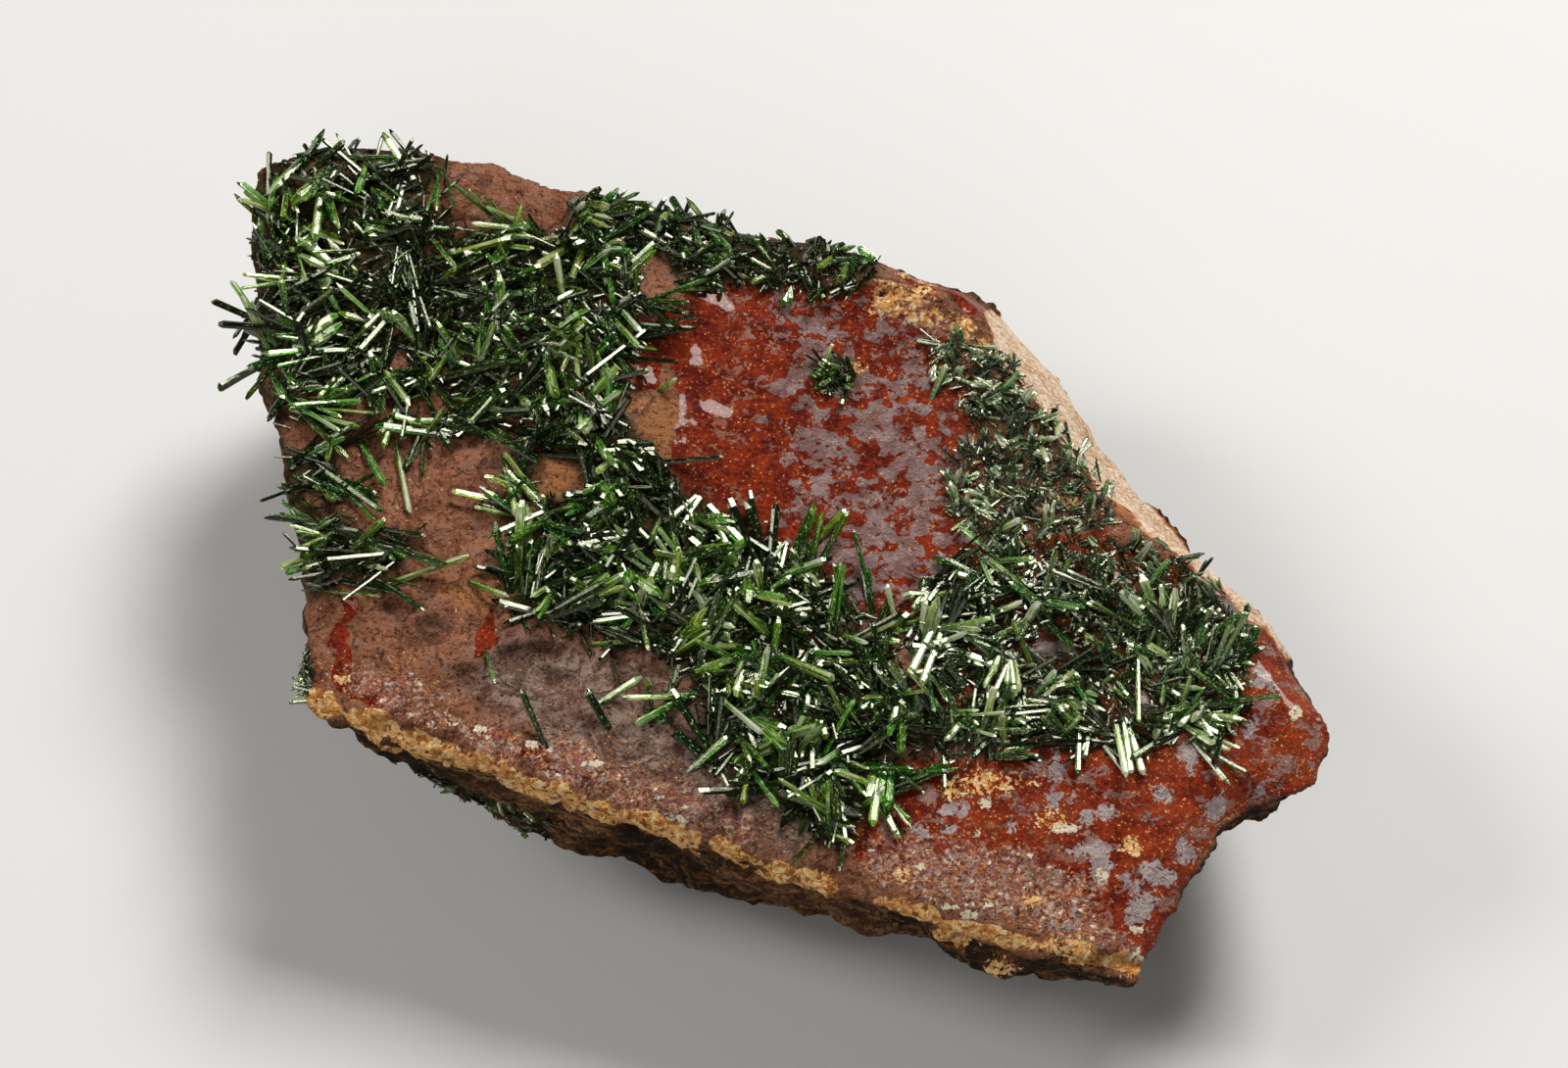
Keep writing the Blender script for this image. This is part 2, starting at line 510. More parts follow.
def make_rock(node, eye, target, material):
    mesh = fine_mesh_of(node)
    points = vectors(mesh.vertices, "co")
    normals = vectors(mesh.vertex_normals, "vector")
    pixels = eye.pixels(points)
    facing = normals @ np.array(FACE_NORMAL)
    up = smooth_step(*FACE_SLOPES, facing)
    wall = 1 - smooth_step(*WALL_SLOPES, facing)
    below_face = (np.array(target) - points) @ np.array(FACE_NORMAL)
    near_face = 1 - smooth_step(*RIM_DEPTHS, below_face)
    seen = smooth_step(*TURNED_AWAY, normals @ -np.array(eye.forward))
    sloping = smooth_step(*TURNED_AWAY, facing)
    zones = rock_zones(pixels, up, near_face, seen, sloping, waves(points, BAY_SIZE, 4), wall)

    grit = GRIT_HEIGHT * waves(points, GRIT_SIZE, 2, 3.0)
    lumps = LUMP_HEIGHT * waves(points, LUMP_SIZE, 4) + DENT_HEIGHT * waves(points, DENT_SIZE, 3, 5.0)
    face = lumps * (0.30 + 0.9 * zones["left"]) * (1 - 0.7 * zones["varnish"])
    face += grit * (0.35 + 0.8 * zones["left"] + 1.2 * zones["grains"])
    face -= HOLLOW_DEPTH * zones["dark"]
    broken = BREAK_HEIGHT * waves(points * np.array([1.0, 1.0, 2.2]), BREAK_SIZE, 5, 7.0)
    broken -= SHEET_HEIGHT * np.abs(waves(points, SHEET_SIZE, 3, 9.0))
    levels = waves(points * np.array([1.0, 1.0, 1.6]), TERRACE_SIZE, 3, 11.0) * TERRACES
    terraces = TERRACE_HEIGHT * (np.floor(levels) + smooth_step(0.35, 0.65, levels - np.floor(levels)))
    broken += terraces * (1 - 0.85 * near_face) + grit * 2
    push = (face * (1 - wall) + broken * wall) * (1 - 0.75 * zones["chip"])
    held = smooth_step(BASE_HELD, BASE_HELD * 4, points[:, 2])
    moved = points + normals * (push * held)[:, None]
    moved[:, 2] = np.maximum(moved[:, 2], 0.0)
    mesh.vertices.foreach_set("co", moved.astype(np.float32).ravel())
    for layer_name, names in ZONE_LAYERS.items():
        layer = mesh.color_attributes.new(layer_name, "FLOAT_COLOR", "POINT")
        values = np.stack([zones[name] for name in names] + [np.ones(len(points))], axis=1)
        layer.data.foreach_set("color", values.astype(np.float32).ravel())
    mesh.shade_smooth()
    return new_object("stained_rock", mesh, material)


# Materials.

class Graph:
    """A material's nodes, added one by one and linked."""

    def __init__(self, name):
        self.material = bpy.data.materials.new(name)
        self.material.use_nodes = True
        self.tree = self.material.node_tree
        self.shader = self.tree.nodes["Principled BSDF"]
        self.output = self.tree.nodes["Material Output"]

    def node(self, kind, inputs=(), **settings):
        """A node with settings, and inputs given as pairs of socket and value or source."""
        node = self.tree.nodes.new("ShaderNode" + kind)
        for name, value in settings.items():
            setattr(node, name, value)
        for socket, value in dict(inputs).items():
            self.feed(node.inputs[socket], value)
        return node

    def feed(self, socket, value):
        if isinstance(value, bpy.types.NodeSocket):
            self.tree.links.new(value, socket)
        elif socket.type == "RGBA":
            socket.default_value = (*value, 1.0)
        else:
            socket.default_value = value

    def set_input(self, name, value):
        self.feed(self.shader.inputs[name], value)

    def add_bump(self, height, strength, distance):
        bump = self.node("Bump", {"Height": height, "Strength": strength, "Distance": distance})
        self.set_input("Normal", bump.outputs["Normal"])

    def math(self, operation, *values):
        return self.node("Math", enumerate(values), operation=operation).outputs[0]

    def step(self, value, low, high):
        """0 at low and 1 at high, of which low may be the larger."""
        fields = {"Value": value, "From Min": low, "From Max": high}
        return self.node("MapRange", fields, interpolation_type="SMOOTHSTEP").outputs[0]

    def blend(self, share, first, second):
        node = self.node("Mix", data_type="RGBA")
        for socket, value in (("Factor_Float", share), ("A_Color", first), ("B_Color", second)):
            self.feed(next(s for s in node.inputs if s.identifier == socket), value)
        return next(s for s in node.outputs if s.identifier == "Result_Color")

    def noise(self, place, scale, detail, roughness=0.55):
        fields = {"Vector": place, "Scale": scale, "Detail": detail, "Roughness": roughness}
        return self.node("TexNoise", fields).outputs["Fac"]

    def mapped(self, place, scale, turn=0.0):
        fields = {"Vector": place, "Scale": scale, "Rotation": (0.0, 0.0, turn)}
        return self.node("Mapping", fields).outputs[0]

    def scaled(self, value, factor):
        return self.math("MULTIPLY", value, factor)

    def centred(self, value):
        return self.math("SUBTRACT", value, 0.5)

    def rest(self, share):
        return self.math("SUBTRACT", 1.0, share)

    def larger(self, first, second):
        return self.math("MAXIMUM", first, second)

    def total(self, first, *others):
        """The sum of values that are given with their factors."""
        total = self.scaled(*first)
        for other in others:
            total = self.math("ADD", total, self.scaled(*other))
        return total

    def varied(self, value, noise, amount):
        """A value moved up and down by a noise."""
        return self.math("ADD", value, self.scaled(self.centred(noise), amount))

    def mottled(self, noise, low, high, first, second):
        """Two colours, the second where a noise passes from low to high."""
        return self.blend(self.step(noise, low, high), first, second)

    def marked(self, colour, noise, low, high, share, mark):
        """A colour with a share of another where a noise passes from low to high."""
        return self.blend(self.scaled(self.step(noise, low, high), share), colour, mark)

    def cells(self, place, scale):
        """A chance value for each cell of a mosaic."""
        mosaic = self.node("TexVoronoi", {"Vector": place, "Scale": float(scale)})
        return self.node("SeparateColor", {"Color": mosaic.outputs["Color"]}).outputs[0]

    def ramp(self, value, blending, stops):
        node = self.node("ValToRGB", {"Fac": value})
        elements = node.color_ramp.elements
        node.color_ramp.interpolation = blending
        elements.remove(elements[1])
        elements[0].position = stops[0][0]
        elements[0].color = (*stops[0][1], 1.0)
        for position, colour in stops[1:]:
            elements.new(position).color = (*colour, 1.0)
        return node.outputs["Color"]

    def shares(self, name):
        """The three shares kept in one of the mesh's zone layers."""
        layer = self.node("Attribute", attribute_name=name)
        return self.node("SeparateColor", {"Color": layer.outputs["Color"]}).outputs


def rock_material():
    graph = Graph("stained rock")
    step, scaled, rest, larger, total = graph.step, graph.scaled, graph.rest, graph.larger, graph.total
    blend, varied, mottled, marked = graph.blend, graph.varied, graph.mottled, graph.marked
    zones = {}
    for layer_name, names in ZONE_LAYERS.items():
        zones.update(zip(names, graph.shares(layer_name)))

    # Noises and mosaics, with their scale in features per metre.
    place = graph.node("TexCoord").outputs["Object"]
    broad = graph.noise(place, 260, 5)
    medium = graph.noise(place, 900, 6, 0.65)
    fine = graph.noise(place, 3600, 4, 0.65)
    grit = graph.noise(place, 8000, 2, 0.6)
    bend = graph.node("TexNoise", {"Vector": place, "Scale": 1500.0, "Detail": 3.0}).outputs["Color"]
    bend = graph.node("VectorMath", {0: bend, 1: BEND}, operation="MULTIPLY").outputs[0]
    bent = graph.node("VectorMath", {0: place, 1: bend}, operation="ADD").outputs[0]
    slanted = graph.mapped(bent, (0.8, 1.3, 1.0), 0.9)
    flake = graph.cells(slanted, 1150)
    grain = graph.cells(bent, 3800)
    edges = graph.node("TexVoronoi", {"Vector": bent, "Scale": 290.0}, feature="DISTANCE_TO_EDGE")
    crack = scaled(step(edges.outputs["Distance"], 0.045, 0.010), step(medium, 0.46, 0.56))

    # Matt rock, brown at the left and mauve at the front.
    matt = graph.ramp(total((medium, 0.7), (broad, 0.5)), "LINEAR", (
        (0.44, (0.105, 0.032, 0.016)), (0.54, (0.215, 0.085, 0.048)), (0.62, (0.32, 0.135, 0.075)),
        (0.72, (0.27, 0.14, 0.105)), (0.82, (0.4, 0.2, 0.11)),
    ))
    warm = blend(fine, (0.22, 0.07, 0.02), (0.48, 0.22, 0.09))
    matt = blend(scaled(zones["warm"], 0.8), matt, warm)
    mauve = mottled(medium, 0.38, 0.62, (0.13, 0.066, 0.052), (0.33, 0.24, 0.205))
    matt = blend(zones["mauve"], matt, mauve)
    matt = blend(scaled(zones["dark"], 0.45), matt, (0.05, 0.022, 0.016))
    matt = marked(matt, grit, 0.52, 0.70, 0.5, (0.48, 0.24, 0.12))
    matt = marked(matt, fine, 0.48, 0.36, 0.75, (0.045, 0.014, 0.008))
    matt = blend(scaled(crack, 0.5), matt, (0.045, 0.016, 0.009))

    # Red varnish, brighter to the right.
    red = mottled(medium, 0.36, 0.62, (0.11, 0.006, 0.002), (0.27, 0.026, 0.005))
    red = marked(red, fine, 0.54, 0.68, 0.7, (0.46, 0.095, 0.018))
    red = marked(red, fine, 0.45, 0.35, 0.6, (0.04, 0.004, 0.002))
    across = graph.node("SeparateXYZ", {"Vector": place}).outputs["X"]
    brighter = scaled(step(across, 0.006, 0.018), step(broad, 0.40, 0.60))
    red = blend(scaled(brighter, 0.35), red, (0.42, 0.075, 0.02))
    film = step(varied(zones["varnish"], medium, 1.2), 0.47, 0.53)
    film = larger(film, step(zones["streaks"], 0.35, 0.50))

    # Brown and lavender islands that are bare of varnish, with fine red veins.
    shapes = varied(scaled(graph.centred(flake), 0.50), grain, 0.20)
    shapes = varied(shapes, graph.noise(slanted, 430, 8, 0.72), 0.85)
    shapes = graph.math("ADD", shapes, scaled(zones["islands"], 0.30))
    outline = varied(varied(zones["islands_right"], fine, 1.3), grain, 0.5)
    bare_right = step(outline, 0.48, 0.53)
    bare = larger(step(shapes, 0.265, 0.285), bare_right)
    hazy = mottled(medium, 0.40, 0.60, (0.215, 0.12, 0.112), (0.35, 0.255, 0.255))
    lavender = mottled(medium, 0.40, 0.60, (0.33, 0.27, 0.28), (0.48, 0.43, 0.44))
    island = mottled(zones["islands"], 0.25, 0.60, (0.33, 0.125, 0.08), hazy)
    island = blend(bare_right, island, lavender)
    island = marked(island, grit, 0.50, 0.30, 0.6, (0.18, 0.11, 0.105))
    ridges = graph.math("ABSOLUTE", graph.centred(graph.noise(slanted, 1300, 3, 0.6)))
    veins = scaled(step(ridges, 0.030, 0.008), step(fine, 0.42, 0.56))
    island = blend(scaled(veins, 0.8), island, (0.15, 0.025, 0.012))
    colour = blend(film, matt, blend(bare, red, island))

    # Loose grains of many colours.
    crumbs = graph.ramp(graph.math("FRACT", total((grain, 1.0), (flake, 0.35))), "CONSTANT", (
        (0.0, (0.3, 0.11, 0.085)), (0.20, (0.1, 0.022, 0.014)), (0.34, (0.4, 0.2, 0.165)),
        (0.50, (0.36, 0.09, 0.03)), (0.62, (0.4, 0.32, 0.3)), (0.74, (0.11, 0.12, 0.08)),
        (0.80, (0.6, 0.3, 0.12)), (0.88, (0.64, 0.46, 0.36)), (0.955, (0.92, 0.86, 0.74)),
    ))
    crumbs = marked(crumbs, fine, 0.56, 0.40, 0.6, (0.17, 0.06, 0.04))
    crumbs = marked(crumbs, grit, 0.54, 0.66, 0.5, (0.62, 0.42, 0.33))
    colour = marked(colour, varied(zones["grains"], medium, 2.4), 0.60, 1.00, 0.9, crumbs)

    # Ochre of the rim, the ledge and the crumbs, and cream grains.
    ochre = graph.ramp(total((fine, 0.6), (grain, 0.4)), "LINEAR", (
        (0.25, (0.2, 0.05, 0.012)), (0.44, (0.64, 0.28, 0.078)), (0.60, (0.88, 0.53, 0.2)),
        (0.76, (0.98, 0.82, 0.52)),
    ))
    scattered = varied(varied(scaled(zones["ochre"], 0.85), grain, 1.1), fine, 1.8)
    rim = larger(step(varied(zones["tan"], medium, 1.8), 0.50, 0.66), step(scattered, 0.70, 0.84))
    colour = blend(rim, colour, ochre)
    cream = step(varied(varied(zones["cream"], fine, 2.0), grain, 0.6), 0.60, 0.68)
    colour = blend(cream, colour, blend(grit, (0.62, 0.5, 0.3), (0.98, 0.93, 0.78)))

    # Dark tarnish among the crystals, and gold specks.
    tarnish = mottled(medium, 0.40, 0.62, (0.004, 0.007, 0.001), (0.022, 0.032, 0.007))
    stain = scaled(zones["shade"], step(broad, 0.22, 0.48))
    colour = blend(scaled(stain, 0.88), colour, tarnish)
    golden = larger(scaled(zones["grains"], 0.5), zones["ochre"])
    golden = larger(golden, scaled(brighter, scaled(zones["varnish"], 0.5)))
    wanted = graph.math("SUBTRACT", 0.995, scaled(scaled(film, medium), 0.034))
    wanted = graph.math("SUBTRACT", wanted, scaled(golden, 0.10))
    glint = scaled(graph.math("GREATER_THAN", graph.cells(place, 10000), wanted), rest(zones["wall"]))
    gold = mottled(fine, 0.4, 0.6, (0.56, 0.12, 0.015), (0.9, 0.48, 0.16))
    colour = blend(scaled(glint, 0.8), colour, gold)

    # Broken walls, in dark and tawny layers.
    layers = graph.noise(graph.mapped(bent, (1.0, 1.0, 4.5)), 420, 6, 0.68)
    broken = mottled(layers, 0.46, 0.66, (0.022, 0.013, 0.007), (0.22, 0.088, 0.022))
    tawny = mottled(layers, 0.42, 0.60, (0.085, 0.032, 0.016), (0.33, 0.165, 0.07))
    broken = marked(broken, graph.noise(place, 110, 4), 0.50, 0.60, 0.8, tawny)
    broken = marked(broken, medium, 0.56, 0.68, 0.7, (0.36, 0.18, 0.06))
    broken = marked(broken, fine, 0.52, 0.40, 0.7, (0.012, 0.009, 0.006))
    broken = blend(scaled(zones["shade"], 0.85), broken, tarnish)
    bare_wall = scaled(zones["wall"], rest(rim))
    colour = blend(bare_wall, colour, broken)

    # The chip's fresh pale break, rusty along its edge.
    pale = mottled(medium, 0.36, 0.62, (0.64, 0.4, 0.25), (0.88, 0.68, 0.51))
    pale = marked(pale, broad, 0.54, 0.68, 0.7, (0.48, 0.23, 0.09))
    pale = marked(pale, fine, 0.50, 0.60, 0.8, (0.96, 0.83, 0.69))
    pale = marked(pale, fine, 0.45, 0.36, 0.7, (0.38, 0.19, 0.09))
    pale = mottled(zones["chip"], 0.98, 0.55, pale, (0.38, 0.13, 0.03))
    chip = step(zones["chip"], 0.40, 0.55)
    graph.set_input("Base Color", blend(chip, colour, pale))

    # Gloss of the varnish, and fine relief, with the varnish standing above its islands.
    glossy = scaled(film, rest(larger(bare_wall, chip)))
    roughness = graph.node("MapRange", {"Value": glossy, "To Min": 0.8, "To Max": 0.38}).outputs[0]
    graph.set_input("Roughness", roughness)
    graph.set_input("Specular IOR Level", 0.12)
    graph.set_input("Coat Weight", scaled(glossy, 0.25))
    graph.set_input("Coat Roughness", 0.08)
    grainy = scaled(grain, 0.5)
    height = total((medium, 1.0), (fine, 0.5), (grit, 0.16), (grainy, zones["grains"]), (cream, 0.4))
    height = graph.math("SUBTRACT", height, scaled(scaled(bare, 0.2), film))
    height = graph.math("SUBTRACT", height, scaled(scaled(crack, rest(film)), 0.5))
    graph.add_bump(height, 1.0, 0.00034)
    return graph.material


def crystal_material():
    """Glassy green, striated along the crystal, from near black to nearly clear."""
    graph = Graph("olivenite")
    along = graph.node("UVMap", uv_map="along").outputs["UV"]
    tint, facet, frost = (
        graph.node("Attribute", attribute_name=name).outputs["Fac"] for name in ("tint", "facet", "frost")
    )
    lines = graph.noise(graph.mapped(along, (36.0, 0.7, 1.0)), 1.0, 4, 0.65)
    clouds = graph.noise(graph.mapped(along, (6.0, 3.0, 1.0)), 1.0, 3, 0.6)
    sparks = graph.noise(graph.mapped(along, (14.0, 12.0, 1.0)), 1.0, 1, 0.5)
    around = graph.node("SeparateXYZ", {"Vector": along}).outputs["X"]
    middle = graph.scaled(graph.math("PINGPONG", graph.scaled(around, 6.0), 0.5), 2.0)
    shade = graph.varied(graph.math("ADD", tint, facet), clouds, 0.8)
    shade = graph.varied(graph.varied(shade, lines, 0.9), middle, 0.24)
    shade = graph.math("ADD", shade, graph.scaled(graph.step(sparks, 0.62, 0.68), 0.70))
    colour = graph.ramp(shade, "LINEAR", (
        (0.0, (0.002, 0.005, 0.0)), (0.20, (0.008, 0.03, 0.001)), (0.36, (0.03, 0.12, 0.003)),
        (0.50, (0.1, 0.31, 0.008)), (0.64, (0.23, 0.54, 0.03)), (0.78, (0.64, 0.88, 0.24)),
        (0.90, (1.0, 1.0, 0.92)),
    ))
    own_crystal = graph.math("FLOOR", around)
    chance = graph.node("TexWhiteNoise", {"W": own_crystal}, noise_dimensions="1D").outputs["Value"]
    hue = graph.math("ADD", 0.5, graph.scaled(graph.math("SUBTRACT", chance, 0.55), 0.08))
    fields = {"Hue": hue, "Saturation": graph.rest(graph.scaled(frost, 0.45)), "Color": colour}
    graph.set_input("Base Color", graph.node("HueSaturation", fields).outputs["Color"])
    graph.set_input("Specular Tint", (0.95, 1.0, 0.82))
    graph.set_input("Roughness", 0.06)
    graph.set_input("IOR", 1.77)
    graph.set_input("Transmission Weight", 0.60)
    graph.add_bump(lines, 0.30, 0.00004)
    absorb = graph.node("VolumeAbsorption", {"Color": (0.35, 0.80, 0.16), "Density": 500.0})
    graph.feed(graph.output.inputs["Volume"], absorb.outputs["Volume"])
    return graph.material


# Crystals.

SECTION = [(0.5, 0.0), (0.27, 0.5), (-0.27, 0.5), (-0.5, 0.0), (-0.27, -0.5), (0.27, -0.5)]
SIDES = len(SECTION)
CORNERS = 2 * SIDES + 2  # of a crystal: two rings and a ridge
END_TINT = -0.15  # shift in tint of the end facets


class Cluster:
    """Crystals that will be one mesh: corners, faces, tints, and places around and along each."""

    def __init__(self):
        self.corners, self.faces, self.tints, self.facets, self.along = [], [], [], [], []
        self.frosts, self.frost = [], 0.0
        self.rng = random.Random(SEED)

    def add(self, base, tip, width, thickness, facing, tint):
        """A six-sided prism with a chisel-shaped end, its broad side turned to face a direction."""
        axis = (tip - base).normalized()
        wide = axis.cross(facing).normalized()
        narrow = axis.cross(wide)
        shoulder = tip - axis * width * self.rng.uniform(0.3, 1.3)
        first = len(self.corners)
        for end, growth in ((base, 0.85), (shoulder, 1.0)):
            for across, deep in SECTION:
                self.corners.append(end + wide * across * width * growth + narrow * deep * thickness * growth)
        ridge_width = width * self.rng.uniform(0.08, 0.28)
        skewed = wide * width * self.rng.uniform(-0.15, 0.15)
        self.corners.append(tip + wide * ridge_width + skewed)
        self.corners.append(tip - wide * ridge_width + skewed)
        self.tints += [tint * 0.6] * SIDES + [tint] * (SIDES + 2)
        self.frosts += [self.frost] * CORNERS
        low, high, ridge = first, first + SIDES, first + 2 * SIDES
        for side in range(SIDES):
            after = (side + 1) % SIDES
            start, end = side / SIDES, (side + 1) / SIDES
            corners = [low + side, low + after, high + after, high + side]
            self.face(corners, [(start, 0), (end, 0), (end, 1), (start, 1)])
        self.face(list(range(low + SIDES - 1, low - 1, -1)), [(side / SIDES, 0) for side in range(SIDES)])
        for side, top in ((0, 0), (2, 1), (3, 1), (5, 0)):
            corners = [high + side, high + (side + 1) % SIDES, ridge + top]
            self.face(corners, [(0.1, 1), (0.2, 1), (0.15, 1.1)])
        self.face([high + 1, high + 2, ridge + 1, ridge], [(0.2, 1), (0.4, 1), (0.4, 1.1), (0.2, 1.1)])
        self.face([high + 4, high + 5, ridge, ridge + 1], [(0.7, 1), (0.9, 1), (0.9, 1.1), (0.7, 1.1)])

    def face(self, corners, along):
        """A face, with a place around and along the crystal for each corner, apart from other crystals'."""
        shift = corners[0] // CORNERS
        at_end = along[0][1] == along[1][1]
        self.faces.append(corners)
        self.facets.append(self.rng.uniform(*FACET_TINTS) + (END_TINT if at_end else 0.0))
        self.along += [(around + shift, length + shift) for around, length in along]

    def to_object(self, name, material):
        mesh = bpy.data.meshes.new(name)
        mesh.from_pydata([tuple(corner) for corner in self.corners], [], self.faces)
        for layer_name, domain, values in (
            ("tint", "POINT", self.tints), ("frost", "POINT", self.frosts), ("facet", "FACE", self.facets),
        ):
            mesh.attributes.new(layer_name, "FLOAT", domain).data.foreach_set("value", values)
        along = mesh.uv_layers.new(name="along")
        along.data.foreach_set("uv", [value for pair in self.along for value in pair])
        mesh.update()
        return new_object(name, mesh, material)


def is_within(outline, across, down):
    inside = False
    for (x0, y0), (x1, y1) in zip(outline, outline[1:] + outline[:1]):
        if (y0 > down) != (y1 > down) and across < x0 + (x1 - x0) * (down - y0) / (y1 - y0):
            inside = not inside
    return inside


def random_direction(rng):
    return Vector((rng.gauss(0, 1), rng.gauss(0, 1), rng.gauss(0, 1))).normalized()


class Grower:
    """Grows crystals on the rock where the photograph's pixels show it."""

    def __init__(self, rock, eye, target):
        bm = bmesh.new()
        bm.from_mesh(rock.data)
        self.tree = BVHTree.FromBMesh(bm)
        bm.free()
        self.eye = eye
        self.rng = random.Random(SEED)
        self.shining = ((KEY_PLACE - target).normalized() - eye.forward).normalized()

    def rock_at(self, across, down):
        """(point, normal) of the rock shown at a pixel, or None beside it."""
        point, normal, _, _ = self.tree.ray_cast(self.eye.place, self.eye.line(across, down))
        return None if point is None else (point, normal)

    def gap(self, point):
        near, normal, _, distance = self.tree.find_nearest(point)
        return distance if (point - near).dot(normal) > 0 else -distance

    def is_clear(self, base, tip, radius):
        return all(self.gap(base.lerp(tip, share)) > radius for share in (0.35, 0.55, 0.75, 1.0))

    def is_seen_within(self, base, tip):
        tip_pixel, middle_pixel = self.eye.pixels(np.array([tip, base.lerp(tip, 0.6)]))
        return is_within(SILHOUETTE, *tip_pixel) and not is_bare(*tip_pixel) and not is_bare(*middle_pixel)

    def grow(self, cluster, base, normal, heading, length, lift, width, tint, pale):
        """A crystal from a point of the rock, lifted until it lies clear of the rock."""
        rng = self.rng
        thickness = width * rng.uniform(0.4, 0.75)
        flat = (heading - normal * heading.dot(normal)).normalized()
        for _ in range(LIFT_TRIES):
            tip = base + (flat * math.cos(lift) + normal * math.sin(lift)) * length
            if self.is_clear(base, tip, thickness * 0.45):
                break
            lift += LIFT_STEP
        if not self.is_seen_within(base, tip):
            return False
        share = SHINING_SHARE_BRIGHT if tint > 0.5 else SHINING_SHARE
        shines = rng.random() < share + SHINING_OF_PALE * pale
        facing = self.shining + random_direction(rng) * 0.08 if shines else random_direction(rng)
        root = base + (base - tip).normalized() * ROOT_DEPTH
        cluster.add(root, tip, width, thickness, facing, min(1.0, max(0.0, tint)))
        return True

    def add_bundle(self, cluster, pixel, thicket, tint, size, count):
        """Crystals side by side from one root, headed where the outline of the specimen allows it."""
        rng = self.rng
        found = self.rock_at(*pixel)
        if found is None:
            return
        point, normal = found
        if normal.dot(FACE_NORMAL) > 0.4:
            normal = (normal + FACE_NORMAL * 1.5).normalized()
        centre, spread = thicket.get("heading", (0, 180))
        turn = math.radians(centre + rng.uniform(-spread, spread)) + math.pi * rng.randrange(2)
        least, most = thicket["lift"]
        lift = math.radians(least + (most - least) * rng.random() ** 1.6)
        length = rng.uniform(*thicket["length"]) * PIXEL * size
        width = rng.uniform(*thicket["width"]) * PIXEL * (0.4 + 0.6 * size) * (0.9 + 0.4 * tint)
        for _ in range(count):
            own_turn = turn + rng.gauss(0, BUNDLE_SPREAD)
            heading = Vector((math.cos(own_turn), math.sin(own_turn), 0.0))
            base = point + normal.cross(heading).normalized() * rng.uniform(-1, 1) * width * 0.9
            own_length = length * rng.uniform(0.55, 1.1)
            own_lift = max(0.03, lift + rng.uniform(-0.09, 0.09))
            own_tint = tint + rng.uniform(-0.12, 0.12)
            own_width = width * rng.uniform(0.55, 1.1)
            form = (own_lift, own_width, own_tint, thicket.get("pale", 0.0))
            for way, share in ((1, 1.0), (-1, 1.0), (1, 0.55), (-1, 0.55)):
                if self.grow(cluster, base, normal, heading * way, own_length * share, *form):
                    break

    def add_single(self, cluster, single):
        """A crystal that the photograph shows clearly, from its base to its tip."""
        x0, y0, x1, y1, width, pale = single
        found = self.rock_at(x0, y0)
        if found is None:
            return
        base, _ = found
        length = math.hypot(x1 - x0, y1 - y0) * PIXEL
        plane = base + FACE_NORMAL * max(SINGLE_RISE, 0.22 * length)
        line = self.eye.line(x1, y1)
        for _ in range(RISE_TRIES):
            tip = self.eye.place + line * ((plane - self.eye.place).dot(FACE_NORMAL) / line.dot(FACE_NORMAL))
            if self.is_clear(base, tip, width * PIXEL * 0.3):
                break
            plane += FACE_NORMAL * RISE_STEP
        root = base + (base - tip).normalized() * ROOT_DEPTH
        facing = self.shining if pale > 0.75 else random_direction(self.rng)
        thickness = width * PIXEL * self.rng.uniform(0.5, 0.75)
        cluster.add(root, tip, width * PIXEL, thickness, facing, 0.35 + 0.65 * pale)


def is_bare(across, down):
    return any(math.hypot((across - x) / wide, (down - y) / high) < 1.0 for x, y, wide, high in CLEARINGS)


def scattered(outline, count, rng, tries=8):
    """Pixels spread evenly inside an outline, off the clearings: each is the best of a few tries."""
    xs = [x for x, _ in outline]
    ys = [y for _, y in outline]
    picked = []
    while len(picked) < count:
        places = [(rng.uniform(min(xs), max(xs)), rng.uniform(min(ys), max(ys))) for _ in range(tries)]
        places = [place for place in places if is_within(outline, *place) and not is_bare(*place)]
        if places:
            others = np.array(picked or [(0.0, 0.0)])
            gaps = [np.hypot(others[:, 0] - x, others[:, 1] - y).min() for x, y in places]
            picked.append(places[int(np.argmax(gaps))])
    return picked


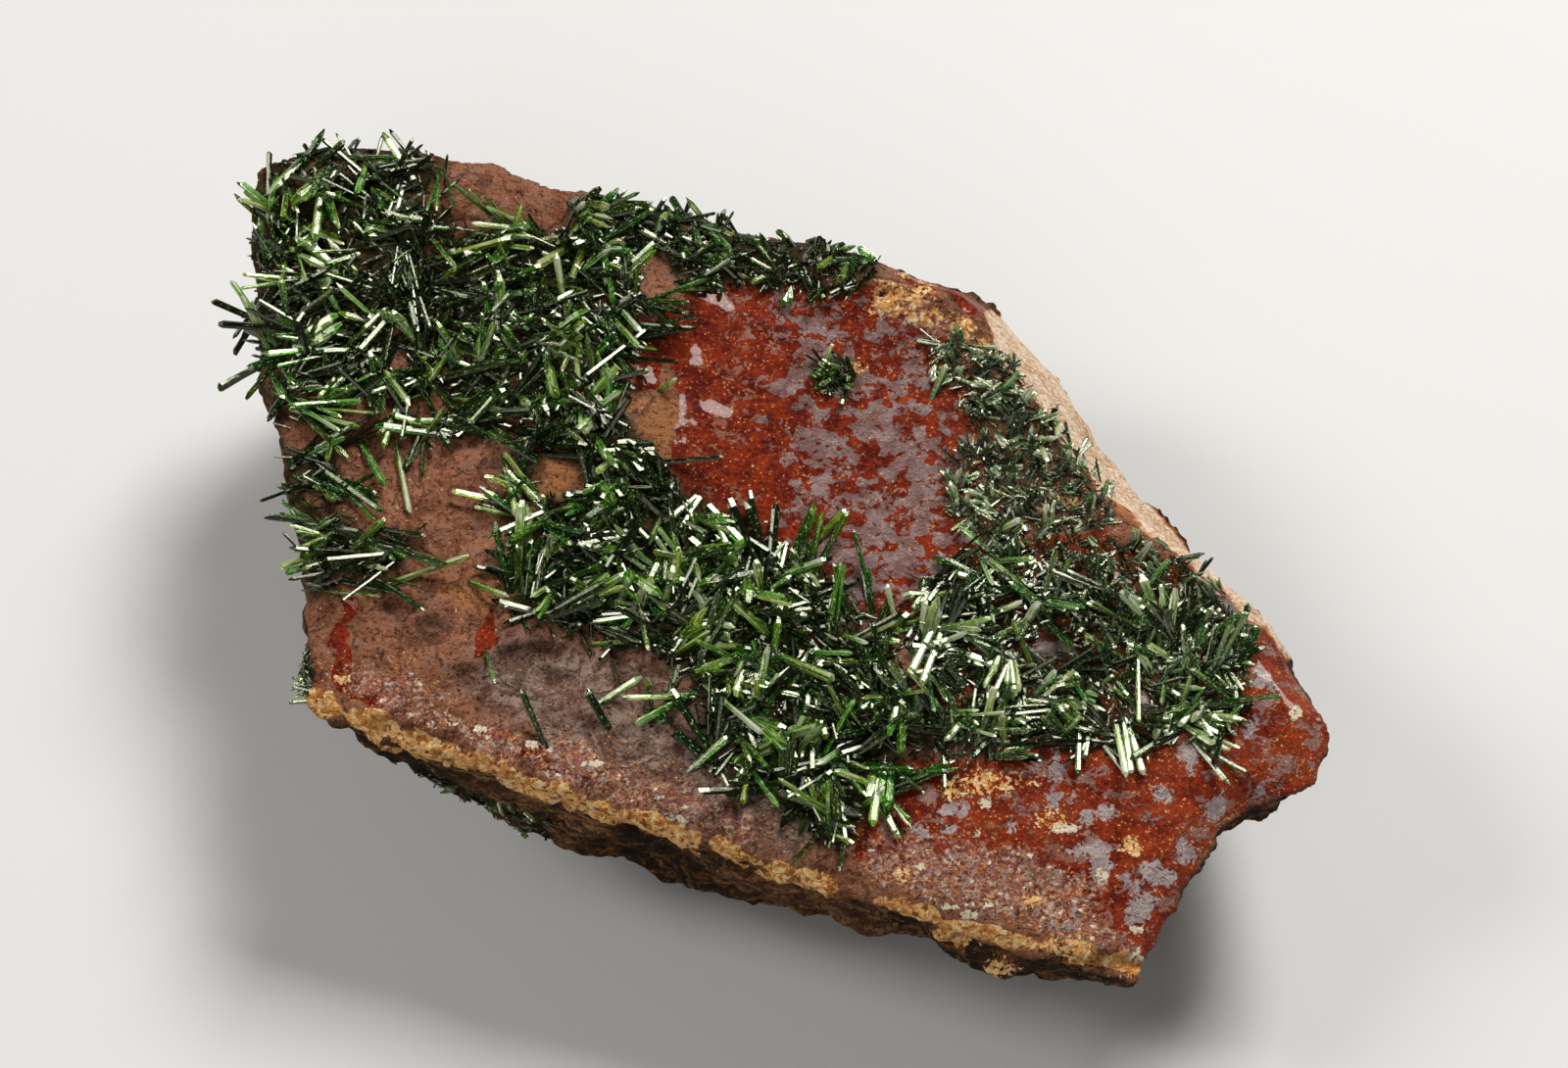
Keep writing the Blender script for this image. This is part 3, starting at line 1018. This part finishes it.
def make_group(name, grower, material):
    """One piece for a group of crystals, in place of its plain solid."""
    cluster = Cluster()
    rng = grower.rng
    for thicket in GROUPS[name]:
        pale = thicket.get("pale", 0.0)
        cluster.frost = thicket.get("frost", 0.0)
        for pixel in scattered(thicket["outline"], thicket["undergrowth"], rng):
            tint = rng.uniform(*UNDERGROWTH_TINTS) + pale * rng.uniform(*PALE_TINTS)
            grower.add_bundle(cluster, pixel, thicket, tint, rng.uniform(*UNDERGROWTH_SIZES), 1)
        for pixel in scattered(thicket["outline"], thicket["bundles"], rng):
            chance = rng.random()
            tint = rng.uniform(*DARK_TINTS)
            if chance > DARK_SHARE:
                tint = rng.uniform(*MIDDLE_TINTS)
            if chance > 1 - BRIGHT_SHARE:
                tint = rng.uniform(*BRIGHT_TINTS)
            tint += pale * rng.uniform(*PALE_TINTS)
            grower.add_bundle(cluster, pixel, thicket, tint, 1.0, rng.choice(BUNDLE_COUNTS))
    cluster.frost = SINGLE_FROST
    for single in STANDING_OUT.get(name, []):
        grower.add_single(cluster, single)
    piece = cluster.to_object(name.replace("crystal", "olivenite"), material)
    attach(piece, "root")
    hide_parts(name)


# Stage.

def add_floor():
    bpy.ops.mesh.primitive_plane_add(size=3.0, location=(0.0, 0.0, 0.0))
    floor = bpy.context.object
    floor.name = "floor"
    graph = Graph("pale floor")
    graph.set_input("Base Color", (0.70, 0.72, 0.75))
    graph.set_input("Roughness", 0.6)
    floor.data.materials.append(graph.material)


def add_light(name, target, place, size, power, colour):
    light = bpy.data.lights.new(name, "AREA")
    light.size = size
    light.energy = power
    light.color = colour
    lamp = bpy.data.objects.new(name, light)
    lamp.location = place
    lamp.rotation_euler = (target - place).to_track_quat("-Z", "Y").to_euler()
    bpy.context.scene.collection.objects.link(lamp)


def add_stage(eye, target):
    add_floor()
    for name, light in LIGHTS.items():
        add_light(name, target, *light)
    world = bpy.data.worlds.new("studio")
    world.use_nodes = True
    glow = world.node_tree.nodes["Background"]
    glow.inputs["Color"].default_value = (1.0, 0.94, 0.86, 1.0)
    glow.inputs["Strength"].default_value = 0.070
    bpy.context.scene.world = world
    camera = bpy.data.cameras.new("camera")
    camera.lens = LENS
    camera.sensor_width = SENSOR
    camera.clip_start = 0.01
    seat = bpy.data.objects.new("camera", camera)
    seat.location = eye.place
    seat.rotation_euler = (math.pi / 2 - ELEVATION, 0.0, 0.0)
    bpy.context.scene.collection.objects.link(seat)
    bpy.context.scene.camera = seat
    bpy.context.scene.view_settings.view_transform = "Standard"


def main():
    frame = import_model()
    rock_low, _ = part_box("rock_matrix")
    target = rock_low + AIM_FROM_ROCK
    eye = Eye(target)
    rock = make_rock(frame["nodes"]["rock_matrix"], eye, target, rock_material())
    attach(rock, "root")
    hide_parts("rock_matrix")
    grower = Grower(rock, eye, target)
    olivenite = crystal_material()
    for name in GROUPS:
        make_group(name, grower, olivenite)
    add_stage(eye, target)


main()
